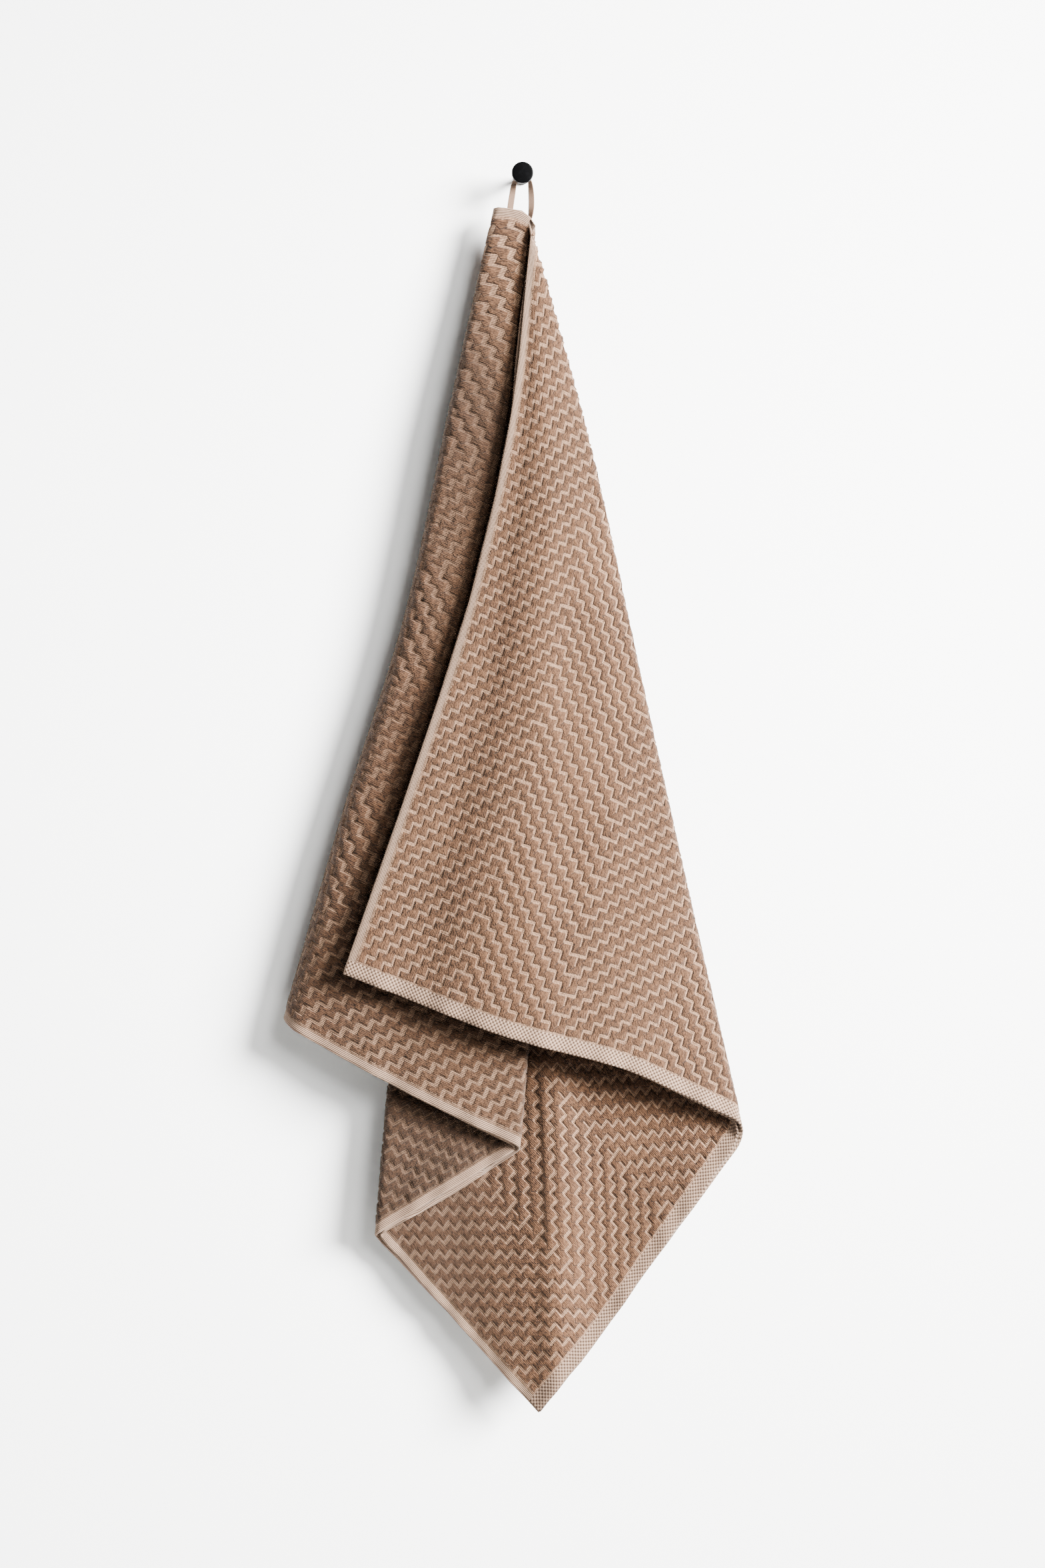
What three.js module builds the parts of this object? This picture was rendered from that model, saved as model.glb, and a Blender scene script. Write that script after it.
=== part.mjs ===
// A bath towel hanging by its tape loop from a round wall hook.
// The towel is 700 by 1400. It is laid double, with its middle fold to the left, into a square of
// 700 by 700, and that is folded back and forth into a narrow fan that opens downwards from the
// loop. Millimetres, +Z up. The origin is the centre of the hook's wall face, the wall is the plane
// y = 0, and the viewer stands at -Y.

import * as THREE from 'three';

// Driving dimensions
const clothThick = 3.0; // one layer, pile included
const layerPitch = 5.0; // centre to centre of the two layers that lie together
const topSqueeze = 0.45; // how far the layers are pressed together under the loop
const squeezeReach = 0.25; // the share of the fan, from the top, over which they open out
const headRadius = 9.5;
const headDepth = 8.0;
const headRim = 0.8;
const stemRadius = 3.2;
const wallFaceRadius = 5.0;
const wallFaceDepth = 3.0;
const hookReach = 44.0; // from the wall to the front of the head
const tapeWidth = 5.5;
const tapeThick = 1.0;
const gap = 0.3; // between pieces that touch

const colours = {
  cloth: new THREE.Color(0.53, 0.36, 0.27),
  tape: new THREE.Color(0.56, 0.42, 0.34),
  hook: new THREE.Color(0.02, 0.02, 0.022),
};

// The folds. A fold is a line from the hem under the loop down to the rim of the double square.
// rim is its place round the rim, in widths of cloth: 0 at the free corner of the looped edge, 1 at
// the lowest corner and 2 at the foot of the middle fold. round is the half width of its bend in
// the same measure. zTop and zRim are its end heights. x and y are its places at five levels, from
// the hem (first) to the rim (last), and lie halfway between the two layers.
const folds = [
  { name: 'front edge', rim: 0, round: 0, zTop: -52, zRim: -705,
    x: [8, -9.5, -46, -99, -156], y: [-39, -55, -62, -67, -71] },
  { name: 'front crest', rim: 0.225, round: 0.07, zTop: -51.5, zRim: -759,
    x: [8.2, 18.1, 13.7, -0.1, -15.5], y: [-39, -59, -73, -84, -91] },
  { name: 'front hollow', rim: 0.4, round: 0.05, zTop: -51, zRim: -788,
    x: [8.4, 39.6, 60.2, 76.8, 93.7], y: [-39, -54, -62, -67, -71] },
  { name: 'right turn, front', rim: 0.5575, round: 0.0135, zTop: -50, zRim: -838,
    x: [8.6, 59, 102, 146, 192], y: [-39, -47, -50, -51, -51] },
  { name: 'right turn, back', rim: 0.5855, round: 0.0135, zTop: -50, zRim: -857,
    x: [8.6, 59, 102, 146, 192], y: [-22, -28, -31, -32, -33] },
  { name: 'foot of the ridge, right', rim: 0.895, round: 0.03, zTop: -50, zRim: -1040,
    x: [8.2, 22.4, 34.8, 47.4, 59.8], y: [-20, -24.5, -29, -31.5, -34] },
  { name: 'low ridge', rim: 0.96, round: 0.028, zTop: -50, zRim: -1070,
    x: [8.1, 14.7, 20.7, 26.7, 32.1], y: [-19.3, -23.5, -32, -48, -58] },
  { name: 'lowest corner', rim: 1, round: 0, zTop: -50, zRim: -1093,
    x: [8, 10, 12, 14, 15], y: [-19, -23, -30, -40, -47] },
  { name: 'foot of the ridge, left', rim: 1.1, round: 0.05, zTop: -50, zRim: -1043,
    x: [6.6, -3, -14.1, -27.2, -34.1], y: [-18.7, -20.5, -23, -26.5, -30] },
  { name: 'left turn, back', rim: 1.2914, round: 0.0083, zTop: -50, zRim: -942,
    x: [4, -28, -64, -106, -128], y: [-18, -18, -19, -22, -25] },
  { name: 'left turn, front', rim: 1.3086, round: 0.0083, zTop: -50, zRim: -938,
    x: [4, -28, -64, -106, -128], y: [-23.5, -27.5, -30, -34, -37.5] },
  { name: 'inner turn, back', rim: 1.52, round: 0.0083, zTop: -48, zRim: -862,
    x: [9.5, 10, 14, 10, -5], y: [-24.5, -33, -39.5, -47, -52] },
  { name: 'inner turn, front', rim: 1.5371, round: 0.0083, zTop: -46.5, zRim: -857,
    x: [10.5, 10, 14, 10, -5], y: [-30.5, -43, -50.5, -58, -63] },
  { name: 'back swell', rim: 1.7, round: 0.11, zTop: -30, zRim: -811,
    x: [1.5, -25, -43, -72, -103], y: [-31, -43, -50, -55, -58] },
  { name: 'outer turn, front', rim: 1.8457, round: 0.0257, zTop: -30, zRim: -752,
    x: [-24.5, -62.5, -101, -157, -209], y: [-31, -39, -42, -43, -43] },
  { name: 'outer turn, back', rim: 1.8971, round: 0.0257, zTop: -30, zRim: -742,
    x: [-24.5, -62.5, -101, -157, -209], y: [-22, -12, -7.5, -7.5, -7.5] },
  { name: 'middle fold', rim: 2, round: 0, zTop: -30, zRim: -730,
    x: [-14, -50, -76, -118, -150], y: [-22, -12, -7.5, -7.5, -7.5] },
];

// A soft trough and a crest that run down the front panel. rim and halfWidth are in the same measure
// as above, and rise is towards the viewer at the rim, fading to nothing at the hem.
const ripples = [
  { name: 'trough by the front edge', rim: 0.09, halfWidth: 0.08, rise: -5 },
  { name: 'broad crest', rim: 0.235, halfWidth: 0.1, rise: 5 },
];

// A smooth curve through five values at even steps, at a share from 0 to 1 (Catmull-Rom).
function alongFold(values, share) {
  const last = values.length - 1;
  const place = share * last;
  const i = Math.min(Math.floor(place), last - 1);
  const f = place - i;
  const slope = (k) => {
    if (k === 0) return values[1] - values[0];
    if (k === last) return values[last] - values[last - 1];
    return (values[k + 1] - values[k - 1]) / 2;
  };
  const rise = values[i + 1] - values[i];
  const a = slope(i) + slope(i + 1) - 2 * rise;
  const b = 3 * rise - 2 * slope(i) - slope(i + 1);
  return values[i] + f * (slope(i) + f * (b + f * a));
}

// Zero before the bend, a straight ramp after it, and a parabola through the bend itself.
function softRamp(distance, round) {
  if (distance <= -round) return 0;
  if (distance >= round) return distance;
  return (distance + round) ** 2 / (4 * round);
}

// The places of all folds on one level of the fan, moved off the middle by an offset. In plan the
// folds are the corners of an open zigzag, and each corner moves along its mitre.
function foldPlaces(share, offset) {
  const corners = folds.map((fold) => new THREE.Vector2(
    alongFold(fold.x, share), alongFold(fold.y, share)));
  const normals = corners.slice(1).map((corner, i) => {
    const along = corner.clone().sub(corners[i]).normalize();
    return new THREE.Vector2(along.y, -along.x);
  });
  return folds.map((fold, i) => {
    const before = normals[Math.max(i - 1, 0)];
    const after = normals[Math.min(i, normals.length - 1)];
    const mitre = before.clone().add(after).divideScalar(1 + before.dot(after));
    return new THREE.Vector3(
      corners[i].x + offset * mitre.x,
      corners[i].y + offset * mitre.y,
      THREE.MathUtils.lerp(fold.zTop, fold.zRim, share));
  });
}

// How far the layers are opened out on one level: topSqueeze at the hem, 1 below squeezeReach.
function openness(share) {
  return THREE.MathUtils.lerp(topSqueeze, 1, Math.min(share / squeezeReach, 1));
}

// The forward push of the ripples at one place.
function ripplePush(share, rim) {
  return ripples.reduce((push, ripple) => {
    const off = Math.abs(rim - ripple.rim) / ripple.halfWidth;
    return off < 1 ? push + share * ripple.rise * Math.cos(off * Math.PI / 2) ** 2 : push;
  }, 0);
}

// A point of a sheet that runs at an offset beside the middle of the double cloth.
function sheetPoint(places, share, rim) {
  const point = places[0].clone();
  let slopeBefore = new THREE.Vector3();
  for (let i = 0; i < folds.length - 1; i += 1) {
    const span = folds[i + 1].rim - folds[i].rim;
    const slope = places[i + 1].clone().sub(places[i]).divideScalar(span);
    const bend = softRamp(rim - folds[i].rim, folds[i].round);
    point.addScaledVector(slope.clone().sub(slopeBefore), bend);
    slopeBefore = slope;
  }
  point.y -= ripplePush(share, rim);
  return point;
}

// Columns across the fan: a few on each panel, and four steps through each bend.
function rimColumns() {
  const panelStep = 0.058;
  const bendSteps = 4;
  const columns = [0];
  const stops = folds.slice(1).map((fold) => ({
    from: fold.rim - fold.round, to: fold.rim + fold.round, tight: fold.round > 0 && fold.round < 0.05,
  }));
  stops.forEach((stop) => {
    const start = columns[columns.length - 1];
    const end = stop.tight ? stop.from : (stop.from + stop.to) / 2;
    const count = Math.max(Math.round((end - start) / panelStep), 1);
    if (end - start > 1e-6) {
      for (let i = 1; i <= count; i += 1) columns.push(start + (end - start) * i / count);
    }
    if (stop.tight) {
      for (let i = 1; i <= bendSteps; i += 1) {
        columns.push(stop.from + (stop.to - stop.from) * i / bendSteps);
      }
    }
  });
  return columns;
}

// Levels down the fan, closer together near the hem, where the cloth opens out.
function fanLevels() {
  const count = 15;
  return Array.from({ length: count + 1 }, (_, i) => (i / count) ** 1.35);
}

// One skin of the towel at one level: out along the front layer, round the middle fold, and back
// along the rear layer. side is 1 for the outer skin and -1 for the inner one.
function skinRow(share, columns, side) {
  const open = openness(share);
  const reach = open * (layerPitch + side * clothThick) / 2;
  const front = foldPlaces(share, reach);
  const rear = foldPlaces(share, -reach);
  const turnSteps = 4;
  const out = columns.map((rim) => sheetPoint(front, share, rim));
  const back = columns.map((rim) => sheetPoint(rear, share, rim)).reverse();
  const middle = out[out.length - 1].clone().add(back[0]).divideScalar(2);
  const across = out[out.length - 1].clone().sub(middle);
  const along = new THREE.Vector3(-across.y, across.x, 0);
  const turn = [];
  for (let i = 1; i < turnSteps; i += 1) {
    const angle = Math.PI * i / turnSteps;
    turn.push(middle.clone().addScaledVector(across, Math.cos(angle))
      .addScaledVector(along, Math.sin(angle)));
  }
  return [...out, ...turn, ...back];
}

// A closed mesh from two skins, each a grid of rows of points, joined all round their borders.
function shellGeometry(outer, inner) {
  const rows = outer.length;
  const columns = outer[0].length;
  const points = [...outer.flat(), ...inner.flat()];
  const at = (skin, r, c) => skin * rows * columns + r * columns + c;
  const index = [];
  const quad = (a, b, c, d) => index.push(a, b, c, a, c, d);
  for (let r = 0; r < rows - 1; r += 1) {
    for (let c = 0; c < columns - 1; c += 1) {
      quad(at(0, r, c), at(0, r + 1, c), at(0, r + 1, c + 1), at(0, r, c + 1));
      quad(at(1, r, c), at(1, r, c + 1), at(1, r + 1, c + 1), at(1, r + 1, c));
    }
    quad(at(0, r, 0), at(1, r, 0), at(1, r + 1, 0), at(0, r + 1, 0));
    quad(at(0, r, columns - 1), at(0, r + 1, columns - 1), at(1, r + 1, columns - 1), at(1, r, columns - 1));
  }
  for (let c = 0; c < columns - 1; c += 1) {
    quad(at(0, 0, c), at(0, 0, c + 1), at(1, 0, c + 1), at(1, 0, c));
    quad(at(0, rows - 1, c), at(1, rows - 1, c), at(1, rows - 1, c + 1), at(0, rows - 1, c + 1));
  }
  const geometry = new THREE.BufferGeometry();
  geometry.setAttribute('position', new THREE.Float32BufferAttribute(points.flatMap((p) => p.toArray()), 3));
  geometry.setIndex(index);
  geometry.computeVertexNormals();
  return geometry;
}

function towelMesh() {
  const columns = rimColumns();
  const outer = fanLevels().map((share) => skinRow(share, columns, 1));
  const inner = fanLevels().map((share) => skinRow(share, columns, -1));
  return named('towel', shellGeometry(outer, inner), colours.cloth, 0.95, 0);
}

// The loop is one tape that passes over the stem. Its left strand turns face on to the viewer and
// its right strand only half way. Each row is a point of its middle line: x, depth y, height z and
// the turn of the tape about that line, in degrees from lying flat on the stem.
const seatRadius = stemRadius + gap + tapeThick / 2 + 0.1; // 0.1 more, for the facets
const tapeDepth = -27;
const tapeRoute = [
  { x: -12.2, y: -28.2, z: -44, turn: 90 },
  { x: -11.2, y: -28.0, z: -32, turn: 84 },
  { x: -9.2, y: -27.3, z: -18, turn: 70 },
  { x: -7.2, y: tapeDepth, z: -7, turn: 36 },
  { x: -seatRadius - 0.2, y: tapeDepth, z: 0, turn: 0 },
  { x: -seatRadius * Math.SQRT1_2, y: tapeDepth, z: seatRadius * Math.SQRT1_2, turn: 0 },
  { x: 0, y: tapeDepth, z: seatRadius, turn: 0 },
  { x: seatRadius * Math.SQRT1_2, y: tapeDepth, z: seatRadius * Math.SQRT1_2, turn: 0 },
  { x: seatRadius + 0.2, y: tapeDepth, z: 0, turn: 0 },
  { x: 6.9, y: tapeDepth, z: -8, turn: -30 },
  { x: 7.9, y: -26.6, z: -22, turn: -58 },
  { x: 7.2, y: -26.0, z: -34, turn: -40 },
  { x: 5.4, y: -25.8, z: -45.5, turn: 0 },
];

function tapeLoopMesh() {
  const middle = new THREE.CatmullRomCurve3(
    tapeRoute.map((stop) => new THREE.Vector3(stop.x, stop.y, stop.z)), false, 'centripetal');
  const steps = 48;
  const depthAxis = new THREE.Vector3(0, 1, 0);
  const sides = [1, -1].map(() => []);
  for (let i = 0; i <= steps; i += 1) {
    const share = i / steps;
    const place = share * (tapeRoute.length - 1);
    const stop = Math.min(Math.floor(place), tapeRoute.length - 2);
    const turn = THREE.MathUtils.degToRad(THREE.MathUtils.lerp(
      tapeRoute[stop].turn, tapeRoute[stop + 1].turn, place - stop));
    const point = middle.getPoint(share);
    const along = middle.getTangent(share);
    const out = along.clone().cross(depthAxis).normalize();
    const across = depthAxis.clone().multiplyScalar(Math.cos(turn)).addScaledVector(out, Math.sin(turn));
    const up = out.clone().multiplyScalar(Math.cos(turn)).addScaledVector(depthAxis, -Math.sin(turn));
    [1, -1].forEach((side, k) => {
      sides[k].push([-1, 1].map((edge) => point.clone()
        .addScaledVector(across, edge * tapeWidth / 2)
        .addScaledVector(up, side * tapeThick / 2)));
    });
  }
  return named('hanging_loop', shellGeometry(sides[0], sides[1]), colours.tape, 0.9, 0);
}

// One turned piece: wall face, stem and round head. The profile is radius against reach.
function hookMesh() {
  const headBack = hookReach - headDepth;
  const profile = [
    [0, 0],
    [wallFaceRadius, 0],
    [wallFaceRadius, wallFaceDepth - headRim],
    [wallFaceRadius - headRim, wallFaceDepth],
    [stemRadius, wallFaceDepth],
    [stemRadius, headBack],
    [headRadius - headRim, headBack],
    [headRadius, headBack + headRim],
    [headRadius, hookReach - headRim],
    [headRadius - headRim, hookReach],
    [0, hookReach],
  ].map(([radius, reach]) => new THREE.Vector2(radius, reach));
  const geometry = new THREE.LatheGeometry(profile, 40);
  geometry.rotateX(Math.PI);
  return named('wall_hook', geometry, colours.hook, 0.45, 0.6);
}

function named(name, geometry, colour, roughness, metalness) {
  const mesh = new THREE.Mesh(geometry, new THREE.MeshStandardMaterial({ color: colour, roughness, metalness }));
  mesh.name = name;
  return mesh;
}

const towelOnHook = new THREE.Group();
towelOnHook.name = 'towel_on_wall_hook';
towelOnHook.add(hookMesh(), tapeLoopMesh(), towelMesh());

export default towelOnHook;
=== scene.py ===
import math

import bpy
import numpy as np
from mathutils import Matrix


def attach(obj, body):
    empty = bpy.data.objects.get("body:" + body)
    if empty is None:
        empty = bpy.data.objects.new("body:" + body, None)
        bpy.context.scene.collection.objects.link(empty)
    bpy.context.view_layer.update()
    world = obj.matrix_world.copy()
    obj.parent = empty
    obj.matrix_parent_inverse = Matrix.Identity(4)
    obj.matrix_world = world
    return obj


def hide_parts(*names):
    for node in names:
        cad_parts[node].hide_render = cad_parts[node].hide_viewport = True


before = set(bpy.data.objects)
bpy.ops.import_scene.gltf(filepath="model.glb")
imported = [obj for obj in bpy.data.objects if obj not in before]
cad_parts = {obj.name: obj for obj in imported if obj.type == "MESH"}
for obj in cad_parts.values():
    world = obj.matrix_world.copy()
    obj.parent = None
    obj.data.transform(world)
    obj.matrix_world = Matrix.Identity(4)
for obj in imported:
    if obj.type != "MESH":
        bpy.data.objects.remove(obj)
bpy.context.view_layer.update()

# Camera
# It looks square at the wall from a guessed distance. It stands a little above the middle of the
# towel, so its lens is shifted down by as much.
CAMERA_PLACE = (0.0, -3.245, -0.470)
CAMERA_LENS = 83.27
CAMERA_SENSOR = 36.0
PICTURE_MIDDLE = -0.541

camera_data = bpy.data.cameras.new("camera")
camera_data.lens = CAMERA_LENS
camera_data.sensor_width = CAMERA_SENSOR
camera_data.shift_y = (PICTURE_MIDDLE - CAMERA_PLACE[2]) * CAMERA_LENS / (CAMERA_SENSOR * -CAMERA_PLACE[1])
camera = bpy.data.objects.new("camera", camera_data)
camera.location = CAMERA_PLACE
camera.rotation_euler = (math.pi / 2, 0.0, 0.0)
bpy.context.scene.collection.objects.link(camera)
bpy.context.scene.camera = camera


# Shader maths
# A Wire is one output of a node. Arithmetic on wires and numbers adds the Math nodes for it.
class Wire:
    def __init__(self, paint, socket):
        self.paint = paint
        self.socket = socket

    def output(self, key):
        """Another output of the same node."""
        return Wire(self.paint, self.socket.node.outputs[key])

    def math(self, operation, *others):
        return self.paint.node("ShaderNodeMath", {"operation": operation}, dict(enumerate((self, *others))))

    def wave(self, pitch):
        """A sine wave with one turn for each pitch."""
        return (self * (2 * math.pi / pitch)).math("SINE")

    def __add__(self, other):
        return self.math("ADD", other)

    def __sub__(self, other):
        return self.math("SUBTRACT", other)

    def __mul__(self, other):
        return self.math("MULTIPLY", other)

    def __truediv__(self, other):
        return self.math("DIVIDE", other)

    def __mod__(self, other):
        return self.math("FLOORED_MODULO", other)

    def __abs__(self):
        return self.math("ABSOLUTE")

    def __rsub__(self, other):
        return (self * -1.0) + other


class Paint:
    """A node tree of one material, with node() as the only way to add to it."""

    def __init__(self, name):
        self.material = bpy.data.materials.new(name)
        self.material.use_nodes = True
        self.tree = self.material.node_tree
        self.tree.nodes.clear()

    def node(self, kind, settings=None, sockets=None, out=0):
        """Adds a node, sets its settings, gives its sockets values or links, and returns an output."""
        made = self.tree.nodes.new(kind)
        for key, value in (settings or {}).items():
            setattr(made, key, value)
        for key, value in (sockets or {}).items():
            if isinstance(value, Wire):
                self.tree.links.new(value.socket, made.inputs[key])
            else:
                made.inputs[key].default_value = value
        return Wire(self, made.outputs[out]) if len(made.outputs) else None

    def mix(self, factor, first, second):
        """A colour between two colours."""
        settings = {"data_type": "RGBA"}
        return self.node("ShaderNodeMix", settings, {0: factor, 6: first, 7: second}, out=2)

    def soft_step(self, value, start, end):
        """0 below start, 1 above end and a smooth ramp between them."""
        settings = {"interpolation_type": "SMOOTHSTEP"}
        sockets = {0: value, 1: start, 2: end}
        return self.node("ShaderNodeMapRange", settings, sockets)

    def noise(self, place, scale, detail=2.0):
        """Blender's noise about 0.5 at a place, with scale in waves per metre."""
        sockets = {"Vector": place, "Scale": scale, "Detail": detail}
        return self.node("ShaderNodeTexNoise", {}, sockets)

    def finish(self, colour, rough, bump=None, bump_mm=1.0, **fixed):
        """The surface: a Principled shader. A bump of height 1 stands bump_mm millimetres high, and
        fixed gives other sockets, with underscores for the spaces in their names."""
        sockets = {"Base Color": colour, "Roughness": rough}
        if bump is not None:
            height = {"Strength": 1.0, "Distance": 0.001 * bump_mm, "Height": bump}
            sockets["Normal"] = self.node("ShaderNodeBump", {}, height)
        sockets.update({key.replace("_", " "): value for key, value in fixed.items()})
        surface = self.node("ShaderNodeBsdfPrincipled", {}, sockets)
        self.node("ShaderNodeOutputMaterial", {}, {0: surface})
        return self.material


# Floor, wall and light
# A plain white wall behind the hook, a grey floor below, and two large soft lamps at the right, the
# stronger one from well to the side.
WALL_HALF_WIDTH = 6.0
WALL_TOP = 4.0
FLOOR_LEVEL = -1.75
WALL_CLEARANCE = 0.0005
WALL_PAINT = (0.93, 0.93, 0.92, 1.0)
FLOOR_PAINT = (0.40, 0.40, 0.39, 1.0)
LAMPS = (
    # name, place, aimed at, size, power in watts
    ("key lamp", (3.3, -2.6, 0.9), (0.0, -0.05, -0.5), 2.2, 358.0),
    ("soft lamp", (1.5, -3.6, 0.7), (0.0, -0.05, -0.5), 1.4, 18.0),
)
LAMP_SPREAD = 60.0
ROOM_LIGHT = 0.012
ROOM_TINT = (0.95, 0.97, 1.0, 1.0)


def flat_panel(name, corners, material):
    """One four-sided face of the room, which is stage and no part of the towel."""
    mesh = bpy.data.meshes.new(name)
    mesh.from_pydata(corners, [], [(0, 1, 2, 3)])
    mesh.materials.append(material)
    panel = bpy.data.objects.new(name, mesh)
    bpy.context.scene.collection.objects.link(panel)


def wall_paint():
    """White wall paint that is seen from the room's side only."""
    paint = Paint("wall paint")
    side = paint.node("ShaderNodeNewGeometry", out="Backfacing")
    front = paint.node("ShaderNodeBsdfPrincipled", {}, {"Base Color": WALL_PAINT, "Roughness": 0.9})
    clear = paint.node("ShaderNodeBsdfTransparent")
    both = paint.node("ShaderNodeMixShader", {}, {0: side, 1: front, 2: clear})
    paint.node("ShaderNodeOutputMaterial", {}, {0: both})
    return paint.material


def floor_paint():
    """Plain matt grey."""
    return Paint("floor paint").finish(FLOOR_PAINT, 0.8)


flat_panel("wall", [
    (-WALL_HALF_WIDTH, WALL_CLEARANCE, FLOOR_LEVEL), (WALL_HALF_WIDTH, WALL_CLEARANCE, FLOOR_LEVEL),
    (WALL_HALF_WIDTH, WALL_CLEARANCE, WALL_TOP), (-WALL_HALF_WIDTH, WALL_CLEARANCE, WALL_TOP),
], wall_paint())
flat_panel("floor", [
    (-WALL_HALF_WIDTH, -WALL_HALF_WIDTH, FLOOR_LEVEL), (WALL_HALF_WIDTH, -WALL_HALF_WIDTH, FLOOR_LEVEL),
    (WALL_HALF_WIDTH, WALL_HALF_WIDTH, FLOOR_LEVEL), (-WALL_HALF_WIDTH, WALL_HALF_WIDTH, FLOOR_LEVEL),
], floor_paint())

for lamp_name, lamp_place, lamp_aim, lamp_size, lamp_power in LAMPS:
    lamp_data = bpy.data.lights.new(lamp_name, "AREA")
    lamp_data.shape = "DISK"
    lamp_data.size = lamp_size
    lamp_data.spread = math.radians(LAMP_SPREAD)
    lamp_data.energy = lamp_power
    lamp = bpy.data.objects.new(lamp_name, lamp_data)
    lamp.location = lamp_place
    aim = np.array(lamp_aim) - np.array(lamp_place)
    tilt = math.acos(-aim[2] / np.linalg.norm(aim))
    lamp.rotation_euler = (tilt, 0.0, math.atan2(aim[1], aim[0]) - math.pi / 2)
    bpy.context.scene.collection.objects.link(lamp)

world = bpy.data.worlds.new("room light")
world.use_nodes = True
background = world.node_tree.nodes["Background"]
background.inputs["Color"].default_value = ROOM_TINT
background.inputs["Strength"].default_value = ROOM_LIGHT
bpy.context.scene.world = world


# Mesh helpers
# Points, curves and triangles as arrays, for all three pieces.
def new_object(name, points, triangles, material, flat=None):
    """A smooth mesh object from arrays, with flat places in metres as its UV map."""
    mesh = bpy.data.meshes.new(name)
    mesh.from_pydata(points, [], triangles)
    mesh.shade_smooth()
    mesh.materials.append(material)
    if flat is not None:
        layer = mesh.uv_layers.new(name="cloth")
        layer.uv.foreach_set("vector", flat[triangles.ravel()].astype(np.float32).ravel())
    made = bpy.data.objects.new(name, mesh)
    bpy.context.scene.collection.objects.link(made)
    return made


def smooth_through(values, share):
    """Catmull-Rom through the columns of values at even steps: one row for each curve, one column
    for each share from 0 to 1."""
    last = values.shape[1] - 1
    slopes = np.gradient(values, axis=1)
    slopes[:, 0] = values[:, 1] - values[:, 0]
    slopes[:, -1] = values[:, -1] - values[:, -2]
    i = np.clip(np.floor(share * last).astype(int), 0, last - 1)
    f = share * last - i
    rise = values[:, i + 1] - values[:, i]
    a = slopes[:, i] + slopes[:, i + 1] - 2 * rise
    b = 3 * rise - 2 * slopes[:, i] - slopes[:, i + 1]
    return values[:, i] + f * (slopes[:, i] + f * (b + f * a))


def unit(vectors):
    """The same directions, one long."""
    return vectors / np.linalg.norm(vectors, axis=-1, keepdims=True)


def grid_quads(rows, columns, start=0):
    """Triangles of a grid of points, two to a cell, with row-major numbering from start."""
    r, c = np.meshgrid(np.arange(rows - 1), np.arange(columns - 1), indexing="ij")
    a = (start + r * columns + c).ravel()
    b, d, e = a + 1, a + columns, a + columns + 1
    return np.concatenate([np.stack([a, b, e], axis=1), np.stack([a, e, d], axis=1)])


def border_loop(rows, columns, start=0):
    """The numbers of the points round a grid's border, once round."""
    top = np.arange(columns - 1)
    right = np.arange(rows - 1) * columns + columns - 1
    foot = (rows - 1) * columns + np.arange(columns - 1, 0, -1)
    left = np.arange(rows - 1, 0, -1) * columns
    return start + np.concatenate([top, right, foot, left])


def neighbour_inwards(rows, columns):
    """For each point of the border, the grid point one step in from it."""
    number = np.arange(rows * columns).reshape(rows, columns)
    loop = border_loop(rows, columns)
    r, c = np.divmod(loop, columns)
    return number[np.clip(r, 1, rows - 2), np.clip(c, 1, columns - 2)]


# Wall hook
# One turned steel piece in matt black paint: a small round wall face, a thin stem and a round head
# with a softened rim. A hidden screw in its axis holds it on the wall.
HEAD_RADIUS = 0.0095
HEAD_DEPTH = 0.0080
HEAD_RIM = 0.0011
HEAD_CROWN = 0.0003
STEM_RADIUS = 0.0032
WALL_FACE_RADIUS = 0.0050
WALL_FACE_DEPTH = 0.0030
WALL_FACE_RIM = 0.0006
WALL_FACE_EDGE = 0.0003
STEM_COVE = 0.0010
HOOK_REACH = 0.0440
HOOK_SIDES = 96
CROWN_STEPS = 6
PAINT_GRAIN = 3500.0
PAINT_WEAR = 260.0
PAINT_BLACK = (0.0004, 0.0004, 0.0005, 1.0)
PAINT_WORN = (0.0012, 0.0012, 0.0014, 1.0)


def arc(radius_at, reach_at, size, start, end, steps=6):
    """Points of a quarter round in the turned profile, from one angle to another in degrees."""
    angle = np.radians(np.linspace(start, end, steps))
    return np.stack([radius_at + size * np.cos(angle), reach_at + size * np.sin(angle)], axis=1)


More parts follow.
